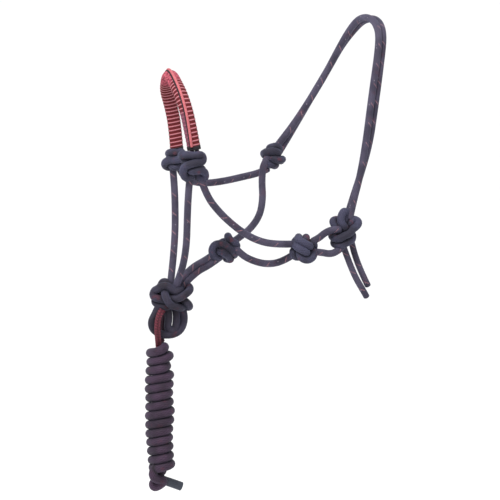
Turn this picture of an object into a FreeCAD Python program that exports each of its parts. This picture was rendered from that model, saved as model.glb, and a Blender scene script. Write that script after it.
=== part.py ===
import FreeCAD, Part
import math
import os

from FreeCAD import Placement, Rotation, Vector

# Rope halter with a hanked lead, millimetres. +X runs towards the horse's rear, +Y to its far (right)
# side and +Z up. The origin is where the crown strap rests on the poll: the underside of the strap.

doc = FreeCAD.newDocument("rope_halter")
sheet = doc.addObject("Spreadsheet::Sheet", "sizes")
sheet.Label = "sizes"

SIZES = [
    ("rope_diameter", 8.0),  # braided halter rope
    ("lead_diameter", 12.0),  # braided lead rope
    ("eye_diameter", 6.5),  # plaited cord of the lead's eye
    ("strand_spacing", 8.9),  # centre to centre where two ropes lie side by side
    ("sleeve_strand_diameter", 6.2),  # halter rope squeezed inside the noseband sleeve
    ("sleeve_strand_spacing", 6.4),
    ("sleeve_width", 15.4),
    ("sleeve_thickness", 9.6),
    ("sleeve_wall", 1.1),
    ("binding_width", 17.0),
    ("binding_thickness", 11.4),
    ("binding_length", 5.0),
    ("binding_gap", 0.4),  # between a binding and the sleeve's end
    ("piping_diameter", 3.4),
    ("piping_gap", 0.05),
    ("noseband_start_far", 18.0),  # from the axis through the nose knots up to the far binding
    ("noseband_start_near", 21.5),  # the same for the near binding
    ("noseband_lean", 11.0),  # degrees that the noseband leans forward
    ("noseband_turn", 4.5),  # degrees that it is turned about the vertical, its near leg forward
    ("noseband_rear", 5.0),  # how far its middle lies behind the nose knots
    ("hank_width", 36.0),
    ("hank_depth", 48.0),
    ("hank_top", -418.0),
    ("hank_bottom", -588.0),
    ("hank_centre", -288.0),
    ("hank_edge", 6.0),  # rounding of the hank's end faces
]

# Each knot: centre, half sizes along X, Y and Z, and its two wraps of rope.
# A wrap is a ring round the knot: its axis, and its shift along that axis.
KNOTS = {
    "nose_knot_far": ((-256, 55, -182), (15, 14, 15.5), (((0.3, 0.2, 1), 4.2), ((0.2, 0.1, 1), -4.2))),
    "nose_knot_near": ((-256, -60, -182), (17, 14, 17), (((-0.4, 0.2, 1), 4.4), ((0.5, 0.1, 1), -5))),
    "cheek_knot_far": ((-109, 75, -181), (18.5, 14, 17), (((0.7, 0.1, 0.7), 4.4), ((0.6, 0.2, 0.9), -4.4))),
    "cheek_knot_near": ((-115, -75, -291), (17.5, 14, 20), (((1, 0.1, 0.3), 4.2), ((1, 0.1, 0.3), -4.2))),
    "throat_knot": ((-202, -2, -296), (19, 17, 18), (((1, 0, 0.6), 4.4), ((1, 0.2, -0.5), -4.4))),
    "fiador_knot": ((-274, 0, -352), (29, 19, 20), (((0.1, 0, 1), 4.6), ((-0.2, 0.1, 1), -4.6))),
    "tie_knot": ((-58, -69, -268), (22, 17, 33), (((0.4, 0, 1), 9), ((0.3, 0, 1), -9))),
}
for knot_name, (_, halves, _) in KNOTS.items():
    for way, half in zip(("length", "depth", "height"), halves):
        SIZES.append((f"{knot_name}_{way}", 2 * half))

for row, (alias, value) in enumerate(SIZES, start=1):
    sheet.set(f"A{row}", alias)
    sheet.set(f"B{row}", str(value))
    sheet.setAlias(f"B{row}", alias)
doc.recompute()

# Routes of the ropes that run singly from knot to knot, each point chosen by hand.
ROUTES = {
    "chin_rope_far": [
        (-254, 57, -193), (-253, 53, -216), (-254, 46, -246),
        (-257, 36, -277), (-263, 24, -309), (-269, 11, -338),
    ],
    "chin_rope_near": [
        (-261, -59, -195), (-262, -54, -219), (-261, -45, -252),
        (-260, -34, -285), (-262, -22, -314), (-266, -10, -338),
    ],
    "cheek_rope_far": [
        (-246, 59, -191), (-240, 60, -203), (-229, 62, -212), (-207, 66, -216),
        (-178, 71, -214), (-149, 76, -206), (-121, 80, -189),
    ],
    "cheek_rope_near": [
        (-251, -62, -195), (-244, -64, -219), (-226, -68, -243), (-203, -72, -264),
        (-181, -75, -278), (-156, -77, -285), (-129, -77, -285),
    ],
    "throat_rope_far": [
        (-189, 4, -290), (-171, 13, -281), (-153, 26, -271), (-138, 40, -256),
        (-131, 54, -236), (-128, 64, -214), (-118, 70, -195),
    ],
    "throat_rope_near": [
        (-192, -9, -290), (-184, -19, -302), (-172, -33, -312),
        (-156, -48, -316), (-139, -62, -311), (-126, -71, -299),
    ],
    "tie_loop_upper": [(-104, -76, -283), (-95, -77, -279), (-85, -77, -271), (-76, -76, -268)],
    "tie_loop_lower": [(-103, -76, -296), (-91, -77, -297), (-78, -77, -300), (-67, -76, -296)],
    "crown_tail_near": [
        (-53, -71, -305), (-47, -71, -320), (-40, -71, -335), (-32, -71, -348), (-25, -71, -360),
    ],
    "crown_tail_far": [
        (-42.5, -66, -299), (-39.5, -66, -309), (-35, -66, -321), (-29, -66, -334), (-23, -66, -346),
    ],
    "loop_strand_outer": [
        (-294, 0, -381.5), (-299, 0, -388.5), (-297, 0, -399), (-286, 0, -408),
        (-271, 0, -411), (-258, 0, -403), (-253, 0, -390), (-257, 0, -378),
    ],
    "loop_strand_inner": [
        (-285.5, 0, -382), (-290, 0, -387.5), (-288, 0, -394), (-281, 0, -400),
        (-271, 0, -402), (-264.5, 0, -396.5), (-261.8, 0, -388), (-266, 0, -378),
    ],
}

# The lead's own pieces: the plaited eye round the lead loop, then the 12 mm rope that shows below the hank.
EYE_ROUTE = [
    (-294.5, -4, -418), (-296.5, -9, -410), (-297.5, -12, -399), (-296.5, -12.5, -388),
    (-291.5, -11.5, -379), (-283.5, -4.5, -375.5), (-277, 4, -378), (-275.5, 11, -385),
    (-278.5, 13.5, -395), (-282, 13, -405), (-286, 9.5, -413), (-287.5, 6, -418),
]
LEAD_ROUTES = {
    "lead_bight": [
        (-291, -12.6, -588), (-294, -13, -598), (-296, -8, -608),
        (-296, 8, -608), (-294, 13, -598), (-291, 12.6, -588),
    ],
    "lead_tail": [(-288, 0, -588), (-283, 0, -598), (-272, 0, -606), (-259, 0, -611)],
}

# Two ropes side by side: a centre route, each point with the roll of the pair about it in degrees.
CROWN_ROUTE = [
    ((-95.5, 76, -164), 10),
    ((-77, 76, -138), 40),
    ((-56, 73, -104), 75),
    ((-36, 67, -69), 60),
    ((-21, 58, -37), 25),
    ((-11, 45, -16), 0),
    ((-4, 28, -1), 0),
    ((0, 10, 4), 0),
    ((2, -10, 4), 0),
    ((4, -27, -2), 0),
    ((3, -42, -16), 0),
    ((-2, -52, -38), 0),
    ((-9, -58, -74), 5),
    ((-16, -62, -114), 10),
    ((-23, -65, -156), 20),
    ((-33, -66, -197), 45),
    ((-45, -67, -234), 70),
]
JAW_ROUTE = [
    ((-254, 0, -341), 25),
    ((-247, 0, -334), 25),
    ((-236, 0, -326), 25),
    ((-223, 0, -319), 25),
    ((-212, -1, -308), 25),
]
HEAD_MIDDLE = Vector(-60, 0, -150)  # inside the head, so that a strap's flat side faces away from it
SIDE_VIEW = Vector(0, 1000, -310)  # far off on the far side, so that the jaw ropes lie one above the other

# Half of the noseband's arch in its own plane: distance to the side and height over the nose knots' axis.
# The first point's height differs from leg to leg, and comes from the sheet.
ARCH_HALF = [(57.5, None), (58.5, 46), (56, 73), (45, 97), (25, 113), (8, 121)]

CORNER_REACH = 0.45  # share of the shorter run that each arc of a route takes up
KNOT_SKIN = 1.0  # how far a knot's wraps stand proud of its core
FLAT = 0.001  # an edge lower than this lies flat


def size(alias):
    return float(sheet.get(alias))


def rounded_wire(points):
    """Straight runs joined by tangent arcs, and the radii of those arcs."""
    points = [Vector(*point) for point in points]
    edges = []
    radii = []
    start = points[0]
    for before, corner, after in zip(points, points[1:], points[2:]):
        run_in = corner - before
        run_out = after - corner
        reach = CORNER_REACH * min(run_in.Length, run_out.Length)
        half_turn = run_in.getAngle(run_out) / 2
        radii.append(reach / math.tan(half_turn))
        run_in.normalize()
        run_out.normalize()
        arc_start = corner - run_in * reach
        arc_end = corner + run_out * reach
        inward = (run_out - run_in).normalize()
        sagitta_point = corner + inward * (radii[-1] / math.cos(half_turn) - radii[-1])
        edges.append(Part.LineSegment(start, arc_start).toShape())
        edges.append(Part.Arc(arc_start, sagitta_point, arc_end).toShape())
        start = arc_end
    edges.append(Part.LineSegment(start, points[-1]).toShape())
    return Part.Wire(edges), radii


def side_by_side(route, spacing, middle):
    """The routes of two ropes that lie beside each other, with their common flat side away from a middle."""
    centres = [Vector(*place) for place, _ in route]
    pair = ([], [])
    for index, (_, roll) in enumerate(route):
        along = centres[min(index + 1, len(centres) - 1)] - centres[max(index - 1, 0)]
        outward = centres[index] - middle
        outward.x = 0
        across = along.cross(outward).normalize()
        across = Rotation(along, roll).multVec(across)
        pair[0].append(centres[index] + across * spacing / 2)
        pair[1].append(centres[index] - across * spacing / 2)
    return pair


def sweep(label, profile, wire):
    """A solid that carries a profile along a wire."""
    spine = doc.addObject("Part::Feature", f"{label}_route")
    spine.Shape = wire
    solid = doc.addObject("Part::Sweep", label)
    solid.Label = label
    solid.Sections = [profile]
    solid.Spine = (spine, [f"Edge{number}" for number in range(1, len(wire.Edges) + 1)])
    solid.Solid = True
    solid.Frenet = False
    return solid


def round_section(label, points, diameter_alias):
    start = Vector(*points[0])
    section = doc.addObject("Part::Circle", f"{label}_section")
    section.setExpression("Radius", f"<<sizes>>.{diameter_alias} / 2")
    section.Placement = Placement(start, Rotation(Vector(0, 0, 1), Vector(*points[1]) - start))
    return section


def rope(label, points, diameter_alias="rope_diameter"):
    """One rope along its route, with its volume compared with section times length."""
    wire, radii = rounded_wire(points)
    tube = sweep(label, round_section(label, points, diameter_alias), wire)
    doc.recompute()
    section_area = math.pi * size(diameter_alias) ** 2 / 4
    print(
        f"{label}: length {wire.Length:.0f}, radii {' '.join(f'{radius:.0f}' for radius in radii)},"
        f" volume over section times length {tube.Shape.Volume / (section_area * wire.Length):.4f}"
    )
    return tube


def knot(label, centre, halves, wraps):
    """A knot's outer shape: a round core with wraps of rope standing a little proud of it."""
    centre = Vector(*centre)
    core = doc.addObject("Part::Ellipsoid", f"{label}_core")
    core.setExpression("Radius1", f"<<sizes>>.{label}_height / 2 - {KNOT_SKIN}")
    core.setExpression("Radius2", f"<<sizes>>.{label}_length / 2 - {KNOT_SKIN}")
    core.setExpression("Radius3", f"<<sizes>>.{label}_depth / 2 - {KNOT_SKIN}")
    core.Placement = Placement(centre, Rotation())
    pieces = [core]
    for number, (axis, shift) in enumerate(wraps, start=1):
        axis = Vector(*axis).normalize()
        wrap = doc.addObject("Part::Torus", f"{label}_wrap_{number}")
        ring_radius = f"<<sizes>>.{label}_depth / 2 - <<sizes>>.rope_diameter / 2 + {KNOT_SKIN} / 2"
        wrap.setExpression("Radius1", ring_radius)
        wrap.setExpression("Radius2", "<<sizes>>.rope_diameter / 2")
        wrap.Placement = Placement(centre + axis * shift, Rotation(Vector(0, 0, 1), axis))
        pieces.append(wrap)
    whole = doc.addObject("Part::MultiFuse", label)
    whole.Label = label
    whole.Shapes = pieces
    return whole


def stadium(label, width_term, thickness_term):
    """A flat section with round ends, centred on its own origin, wide along X and thin along Y."""
    width = sheet_term(width_term)
    thickness = sheet_term(thickness_term)
    end = thickness / 2
    flat = width / 2 - end
    edges = [
        Part.LineSegment(Vector(-flat, end, 0), Vector(flat, end, 0)).toShape(),
        Part.Arc(Vector(flat, end, 0), Vector(width / 2, 0, 0), Vector(flat, -end, 0)).toShape(),
        Part.LineSegment(Vector(flat, -end, 0), Vector(-flat, -end, 0)).toShape(),
        Part.Arc(Vector(-flat, -end, 0), Vector(-width / 2, 0, 0), Vector(-flat, end, 0)).toShape(),
    ]
    section = doc.addObject("Part::Feature", label)
    section.Shape = Part.Wire(edges)
    return section


def sheet_term(term):
    """An alias, or an alias with a wall taken off both sides."""
    alias, walls = term
    return size(alias) - 2 * walls * size("sleeve_wall")


def carried(shape_object, label, placement):
    """A sub-part that is made in its own frame and then put in place."""
    piece = doc.addObject("Part::Compound", label)
    piece.Label = label
    piece.Links = [shape_object]
    piece.Placement = placement
    return piece


def nose_placement():
    """The arch's own frame: X across the sleeve, Y to the far side, Z up the arch."""
    knot_x, _, knot_z = KNOTS["nose_knot_far"][0]
    lean = Rotation(Vector(0, 1, 0), -size("noseband_lean"))
    turn = Rotation(Vector(0, 0, 1), -size("noseband_turn"))
    return Placement(Vector(knot_x + size("noseband_rear"), 0, knot_z), turn.multiply(lean))


def arch_points(lift, shift):
    """The whole arch from the far leg over the nose to the near leg, moved sideways across the sleeve.

    Its ends stand a lift above the undersides of the two bindings.
    """
    (side, _), *upper = ARCH_HALF
    far = [(shift, side, size("noseband_start_far") + lift)]
    far += [(shift, side, height) for side, height in upper]
    near = [(shift, -side, height) for side, height in reversed(upper)]
    near += [(shift, -side, size("noseband_start_near") + lift)]
    return far + near


def arch_tube(label, shift, diameter_alias, lift, placement):
    points = arch_points(lift, shift)
    wire, _ = rounded_wire(points)
    tube = sweep(f"{label}_sweep", round_section(label, points, diameter_alias), wire)
    return carried(tube, label, placement)


def arch_shell(label, lift, placement):
    """The striped sleeve: a flat tube that follows the arch, open at both ends."""
    points = arch_points(lift, 0)
    wire, radii = rounded_wire(points)
    print(f"{label}: length {wire.Length:.0f}, radii {' '.join(f'{radius:.0f}' for radius in radii)}")
    start = Vector(*points[0])
    along = Vector(*points[1]) - start
    at_start = Placement(start, Rotation(Vector(1, 0, 0), Vector(), along, "ZXY"))
    shells = []
    for name, walls in (("outside", 0), ("inside", 1)):
        section = stadium(f"{label}_{name}_section", ("sleeve_width", walls), ("sleeve_thickness", walls))
        section.Placement = at_start
        shells.append(sweep(f"{label}_{name}", section, wire))
    hollow = doc.addObject("Part::Cut", f"{label}_hollow")
    hollow.Base, hollow.Tool = shells
    return carried(hollow, label, placement)


def binding(label, side, start_alias, placement):
    """The tape bound round one end of the sleeve, with the two strands passing through it."""
    outer = stadium(f"{label}_outside", ("binding_width", 0), ("binding_thickness", 0))
    inner = stadium(f"{label}_inside", ("sleeve_width", 1), ("sleeve_thickness", 1))
    pads = []
    for section in (outer, inner):
        pad = doc.addObject("Part::Extrusion", f"{section.Name}_pad")
        pad.Base = section
        pad.Dir = Vector(0, 0, 1)
        pad.setExpression("LengthFwd", "<<sizes>>.binding_length")
        pad.Solid = True
        pads.append(pad)
    ring = doc.addObject("Part::Cut", f"{label}_ring")
    ring.Base, ring.Tool = pads
    leg = ARCH_HALF[0][0]
    lift = Placement(Vector(0, side * leg, size(start_alias)), Rotation())
    return carried(ring, label, placement.multiply(lift))


def hank(label):
    """The wound lead as one closed body: a slot-shaped section, padded, with its end edges rounded."""
    body = doc.addObject("PartDesign::Body", label)
    body.Label = label
    sketch = body.newObject("Sketcher::SketchObject", f"{label}_section")
    plane = next(feature for feature in body.Origin.OriginFeatures if feature.Role == "XY_Plane")
    sketch.AttachmentSupport = [(plane, "")]
    sketch.MapMode = "FlatFace"
    radius = size("hank_width") / 2
    flat = size("hank_depth") / 2 - radius
    top, bottom = Vector(0, flat, 0), Vector(0, -flat, 0)
    normal = Vector(0, 0, 1)
    sketch.addGeometry(Part.ArcOfCircle(Part.Circle(top, normal, radius), 0, math.pi), False)
    sketch.addGeometry(Part.ArcOfCircle(Part.Circle(bottom, normal, radius), math.pi, 2 * math.pi), False)
    sketch.addGeometry(Part.LineSegment(Vector(radius, -flat, 0), Vector(radius, flat, 0)), False)
    sketch.addGeometry(Part.LineSegment(Vector(-radius, flat, 0), Vector(-radius, -flat, 0)), False)
    pad = body.newObject("PartDesign::Pad", f"{label}_pad")
    pad.Profile = sketch
    pad.setExpression("Length", "<<sizes>>.hank_top - <<sizes>>.hank_bottom")
    doc.recompute()
    rims = [
        f"Edge{number}"
        for number, edge in enumerate(pad.Shape.Edges, start=1)
        if edge.BoundBox.ZLength < FLAT
    ]
    rounding = body.newObject("PartDesign::Fillet", f"{label}_rounding")
    rounding.Base = (pad, rims)
    rounding.setExpression("Radius", "<<sizes>>.hank_edge")
    body.Tip = rounding
    body.Placement = Placement(Vector(size("hank_centre"), 0, size("hank_bottom")), Rotation())
    return body


parts = []
for name, (centre, halves, wraps) in KNOTS.items():
    parts.append(knot(name, centre, halves, wraps))
for name, route in ROUTES.items():
    parts.append(rope(name, route))
for names, centre_route, middle in (
    (("crown_strand_front", "crown_strand_rear"), CROWN_ROUTE, HEAD_MIDDLE),
    (("jaw_strand_upper", "jaw_strand_lower"), JAW_ROUTE, SIDE_VIEW),
):
    pair = side_by_side(centre_route, size("strand_spacing"), middle)
    for name, route in zip(names, pair):
        parts.append(rope(name, route))

nose = nose_placement()
sleeve_lift = size("binding_length") + size("binding_gap")
strand_shift = size("sleeve_strand_spacing") / 2
piping_shift = (size("sleeve_width") + size("piping_diameter")) / 2 + size("piping_gap")
parts.append(arch_tube("nose_strand_front", -strand_shift, "sleeve_strand_diameter", 0, nose))
parts.append(arch_tube("nose_strand_rear", strand_shift, "sleeve_strand_diameter", 0, nose))
parts.append(arch_shell("noseband_sleeve", sleeve_lift, nose))
parts.append(arch_tube("noseband_piping", -piping_shift, "piping_diameter", sleeve_lift, nose))
parts.append(binding("sleeve_binding_far", 1, "noseband_start_far", nose))
parts.append(binding("sleeve_binding_near", -1, "noseband_start_near", nose))

parts.append(rope("lead_eye", EYE_ROUTE, "eye_diameter"))
parts.append(hank("lead_hank"))
for name, route in LEAD_ROUTES.items():
    parts.append(rope(name, route, "lead_diameter"))
doc.recompute()

for item in doc.Objects:
    if "Invalid" in item.State or "Error" in item.State:
        raise SystemExit(f"{item.Label} failed: {item.State}")
os.makedirs("parts", exist_ok=True)
for part in parts:
    shape = part.Shape
    if shape.isNull() or not shape.isValid():
        raise SystemExit(f"{part.Label} has no valid shape")
    for solid in shape.Solids:
        if solid.Volume <= 0:
            raise SystemExit(f"{part.Label} is inside out")
    box = shape.BoundBox
    print(
        f"{part.Label}: {len(shape.Solids)} solid, {shape.Volume:.0f} mm3,"
        f" X {box.XMin:.0f} to {box.XMax:.0f}, Y {box.YMin:.0f} to {box.YMax:.0f},"
        f" Z {box.ZMin:.0f} to {box.ZMax:.0f}"
    )
for part in parts:
    part.Shape.exportStep(f"parts/{part.Label}.step")
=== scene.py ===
import math

import bpy
import numpy as np
from mathutils import Matrix, Quaternion, Vector


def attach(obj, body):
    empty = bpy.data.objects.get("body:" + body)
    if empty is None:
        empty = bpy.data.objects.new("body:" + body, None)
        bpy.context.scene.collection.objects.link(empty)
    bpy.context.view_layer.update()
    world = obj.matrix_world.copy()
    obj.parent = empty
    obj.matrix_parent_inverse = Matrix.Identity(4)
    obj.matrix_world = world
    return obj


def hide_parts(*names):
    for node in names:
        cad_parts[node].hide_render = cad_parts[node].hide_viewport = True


# Rope halter with a hanked lead, in metres. +X runs to the horse's rear, +Y to its far side, +Z up.
# The origin is under the crown strap, where it rests on the poll.

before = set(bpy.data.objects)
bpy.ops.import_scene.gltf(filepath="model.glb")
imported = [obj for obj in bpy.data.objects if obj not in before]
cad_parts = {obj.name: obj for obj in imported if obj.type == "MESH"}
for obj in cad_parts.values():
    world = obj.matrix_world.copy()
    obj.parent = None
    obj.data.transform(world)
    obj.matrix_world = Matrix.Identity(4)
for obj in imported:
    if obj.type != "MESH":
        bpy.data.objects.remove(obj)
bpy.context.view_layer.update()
bpy.ops.object.select_all(action="DESELECT")

MM = 0.001

# ---------------------------------------------------------------- camera

VIEW_AZIMUTH = math.radians(-17)
VIEW_ELEVATION = math.radians(6)
VIEW_TARGET = Vector((-0.1646, 0, -0.2995))
VIEW_DISTANCE = 5.5
VIEW_LENS = 300


def viewing_direction(azimuth, elevation):
    """From the target towards the camera."""
    level = math.cos(elevation)
    return Vector((math.sin(azimuth) * level, -math.cos(azimuth) * level, math.sin(elevation)))


def make_camera():
    back = viewing_direction(VIEW_AZIMUTH, VIEW_ELEVATION)
    data = bpy.data.cameras.new("camera")
    data.lens = VIEW_LENS
    data.clip_end = 100
    camera = bpy.data.objects.new("camera", data)
    camera.location = VIEW_TARGET + back * VIEW_DISTANCE
    camera.rotation_mode = "QUATERNION"
    camera.rotation_quaternion = (-back).to_track_quat("-Z", "Y")
    bpy.context.scene.collection.objects.link(camera)
    bpy.context.scene.camera = camera


make_camera()

# ---------------------------------------------------------------- sizes

ROPE = 8 * MM  # diameter of the halter rope
LEAD = 12 * MM  # diameter of the lead rope
ROPE_FULL = 9.5 * MM  # the halter rope's width over its soft cover, where nothing presses it
TAIL_ROPE = 8.5 * MM  # and at its loose tails, where it is pulled thin
KNOTTED_ROPE = 10.3 * MM  # and in a knot, where the rope is pushed together along its length
PAIR_SPACING = 8.1 * MM  # between two halter ropes pressed side by side
RING_SPACING = 0.9 * MM  # between the rings of a rope's surface
CREASE_REACH = 2 * MM  # how far the shade in a crease between two ropes reaches up their sides

# ---------------------------------------------------------------- routes, each point given

ROUTES = {
    "chin_rope_far": [
        (-0.254, 0.057, -0.193), (-0.253, 0.053, -0.216), (-0.254, 0.046, -0.246),
        (-0.257, 0.036, -0.277), (-0.263, 0.024, -0.309), (-0.27, 0.011, -0.336), (-0.273, 0.005, -0.35),
    ],
    "chin_rope_near": [
        (-0.264, -0.059, -0.193), (-0.265, -0.054, -0.219), (-0.2638, -0.045, -0.252),
        (-0.2615, -0.034, -0.285), (-0.2625, -0.022, -0.314), (-0.267, -0.01, -0.337), (-0.27, -0.005, -0.35),
    ],
    "cheek_rope_far": [
        (-0.246, 0.059, -0.191), (-0.24, 0.06, -0.203), (-0.229, 0.062, -0.212), (-0.207, 0.066, -0.216),
        (-0.178, 0.073, -0.214), (-0.152, 0.077, -0.2095), (-0.1264, 0.08, -0.205), (-0.113, 0.081, -0.199),
    ],
    "cheek_rope_near": [
        (-0.251, -0.062, -0.195), (-0.244, -0.064, -0.219), (-0.226, -0.068, -0.243),
        (-0.203, -0.072, -0.264), (-0.181, -0.075, -0.278), (-0.156, -0.077, -0.285),
        (-0.129, -0.077, -0.285),
    ],
    "throat_rope_far": [
        (-0.189, 0.004, -0.29), (-0.171, 0.013, -0.281), (-0.153, 0.026, -0.271), (-0.138, 0.04, -0.256),
        (-0.1305, 0.053, -0.236), (-0.129, 0.062, -0.217), (-0.1275, 0.065, -0.202), (-0.125, 0.066, -0.191),
        (-0.116, 0.07, -0.181),
    ],
    "throat_rope_near": [
        (-0.192, -0.009, -0.29), (-0.184, -0.019, -0.302), (-0.172, -0.033, -0.31),
        (-0.156, -0.048, -0.314), (-0.139, -0.062, -0.3095), (-0.126, -0.071, -0.299),
    ],
    "tie_loop_upper": [
        (-0.104, -0.076, -0.283), (-0.095, -0.077, -0.279), (-0.085, -0.077, -0.271),
        (-0.074, -0.078, -0.267), (-0.063, -0.077, -0.268),
    ],
    "tie_loop_lower": [
        (-0.103, -0.076, -0.296), (-0.091, -0.077, -0.297), (-0.078, -0.077, -0.3),
        (-0.067, -0.076, -0.296), (-0.058, -0.073, -0.289),
    ],
    "crown_tail_near": [
        (-0.058, -0.07, -0.291), (-0.053, -0.071, -0.305), (-0.047, -0.071, -0.32),
        (-0.04, -0.071, -0.335), (-0.032, -0.071, -0.348), (-0.025, -0.071, -0.36),
    ],
    "crown_tail_far": [
        (-0.0465, -0.066, -0.281), (-0.0432, -0.066, -0.295), (-0.039, -0.066, -0.308),
        (-0.0338, -0.066, -0.321), (-0.0278, -0.066, -0.334), (-0.0218, -0.066, -0.346),
    ],
    "loop_strand_outer": [
        (-0.288, 0, -0.366), (-0.295, -0.001, -0.38), (-0.301, -0.002, -0.39), (-0.298, -0.001, -0.401),
        (-0.286, 0, -0.408), (-0.271, 0, -0.4085), (-0.26, 0, -0.403), (-0.255, 0, -0.391),
        (-0.256, 0, -0.378), (-0.261, 0, -0.364),
    ],
    "loop_strand_inner": [
        (-0.28, 0, -0.364), (-0.277, 0, -0.376), (-0.2762, 0, -0.388), (-0.2785, 0, -0.398),
        (-0.2735, 0, -0.4045), (-0.267, 0, -0.4), (-0.2654, 0, -0.388), (-0.2662, 0, -0.376),
        (-0.27, 0, -0.364),
    ],
}
EYE_ROUTE = [
    (-0.291, -0.004, -0.426), (-0.2935, -0.009, -0.412), (-0.2955, -0.012, -0.399),
    (-0.295, -0.0125, -0.388), (-0.2915, -0.0105, -0.378), (-0.2865, -0.004, -0.3745),
    (-0.2825, 0.004, -0.3765), (-0.281, 0.0105, -0.385), (-0.281, 0.0125, -0.395),
    (-0.282, 0.0115, -0.405), (-0.284, 0.0075, -0.415), (-0.2855, 0.004, -0.426),
]
# Two ropes side by side: a centre route, each point with the roll of the pair about it in degrees.
CROWN_ROUTE = [
    ((-0.106, 0.0755, -0.178), 20),
    ((-0.0955, 0.076, -0.164), 35),
    ((-0.077, 0.076, -0.138), 55),
    ((-0.056, 0.073, -0.104), 58),
    ((-0.036, 0.067, -0.069), 48),
    ((-0.021, 0.058, -0.037), 38),
    ((-0.011, 0.045, -0.016), 12),
    ((-0.004, 0.028, -0.001), -8),
    ((0, 0.01, 0.004), -15),
    ((0.002, -0.01, 0.004), -10),
    ((0.004, -0.027, -0.002), -15),
    ((0.003, -0.042, -0.016), -35),
    ((-0.002, -0.052, -0.038), -45),
    ((-0.009, -0.058, -0.074), -36),
    ((-0.016, -0.062, -0.114), -30),
    ((-0.023, -0.065, -0.156), -32),
    ((-0.033, -0.066, -0.197), -58),
    ((-0.045, -0.067, -0.234), -66),
    ((-0.051, -0.068, -0.256), -75),
]
JAW_ROUTE = [
    ((-0.263, 0, -0.35), -8),
    ((-0.257, 0, -0.338), -8),
    ((-0.249, 0, -0.3305), -8),
    ((-0.238, 0, -0.3215), -8),
    ((-0.2245, 0, -0.315), -8),
    ((-0.2125, -0.001, -0.307), -8),
    ((-0.203, -0.002, -0.3), -8),
]
HEAD_MIDDLE = Vector((-0.06, 0, -0.15))  # inside the head: a strap's flat side faces away from it
SIDE_VIEW = Vector((0, 1, -0.31))  # far off on the far side, so that the jaw ropes lie one above the other

# ---------------------------------------------------------------- lines


def spline_line(name, points, spacing):
    """Evenly spaced points along the NURBS spline that a route's points control."""
    curve = bpy.data.curves.new(f"{name}_line", "CURVE")
    curve.dimensions = "3D"
    curve.resolution_u = 16
    spline = curve.splines.new("NURBS")
    spline.points.add(len(points) - 1)
    for control, point in zip(spline.points, points):
        control.co = (*point, 1)
    spline.order_u = 3
    spline.use_endpoint_u = True
    holder = bpy.data.objects.new(f"{name}_line", curve)
    mesh = bpy.data.meshes.new_from_object(holder)
    read = np.array([vertex.co for vertex in mesh.vertices])
    bpy.data.objects.remove(holder)
    bpy.data.curves.remove(curve)
    bpy.data.meshes.remove(mesh)
    return even_line(read, spacing)


def even_line(points, spacing):
    along = length_along(points)
    count = max(3, round(along[-1] / spacing) + 1)
    places = np.linspace(0, along[-1], count)
    return np.stack([np.interp(places, along, points[:, axis]) for axis in range(3)], axis=1)


def length_along(line):
    """The distance along a line to each of its points."""
    return np.concatenate([[0], np.cumsum(np.linalg.norm(np.diff(line, axis=0), axis=1))])


def side_by_side(route, spacing, middle):
    """The routes of two ropes that lie beside each other, with their common flat side away from a middle."""
    centres = [Vector(place) for place, _ in route]
    pair = ([], [])
    for index, (_, roll) in enumerate(route):
        along = centres[min(index + 1, len(centres) - 1)] - centres[max(index - 1, 0)]
        outward = centres[index] - middle
        outward.x = 0
        across = along.cross(outward).normalized()
        across.rotate(Quaternion(along, math.radians(roll)))
        pair[0].append(tuple(centres[index] + across * spacing / 2))
        pair[1].append(tuple(centres[index] - across * spacing / 2))
    return pair


def frames_along(line, aside=(0.31, 0.2, 0.93)):
    """Tangents, and two directions across that turn as little as possible, the first one square to aside."""
    tangents = np.gradient(line, axis=0)
    tangents /= np.linalg.norm(tangents, axis=1)[:, None]
    first = np.cross(tangents[0], aside)
    normals = [first / np.linalg.norm(first)]
    for tangent in tangents[1:]:
        carried = normals[-1] - tangent * np.dot(normals[-1], tangent)
        normals.append(carried / np.linalg.norm(carried))
    normals = np.array(normals)
    return tangents, normals, np.cross(tangents, normals)


def directions_round(normals, binormals, angle):
    """For each point of a line, the directions outward from it at each angle."""
    cosine = np.cos(angle)[None, :, None]
    sine = np.sin(angle)[None, :, None]
    return normals[:, None, :] * cosine + binormals[:, None, :] * sine


# ---------------------------------------------------------------- rope surfaces


def crease_depth(rings, pressed_by):
    """1 where a rope's surface meets a neighbour, falling off with distance from the neighbour's surface.

    pressed_by: the neighbour's radius, and for each ring the points of the neighbours' middle lines."""
    depth = np.zeros(rings.shape[:2])
    if pressed_by is None:
        return depth
    radius, neighbours = pressed_by
    for number, ring in enumerate(rings):
        lines = neighbours(number)
        if len(lines):
            nearest = np.linalg.norm(ring[:, None, :] - lines[None, :, :], axis=2).min(axis=1)
            depth[number] = np.exp(-np.clip(nearest - radius, 0, None) / CREASE_REACH)
    return depth


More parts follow.
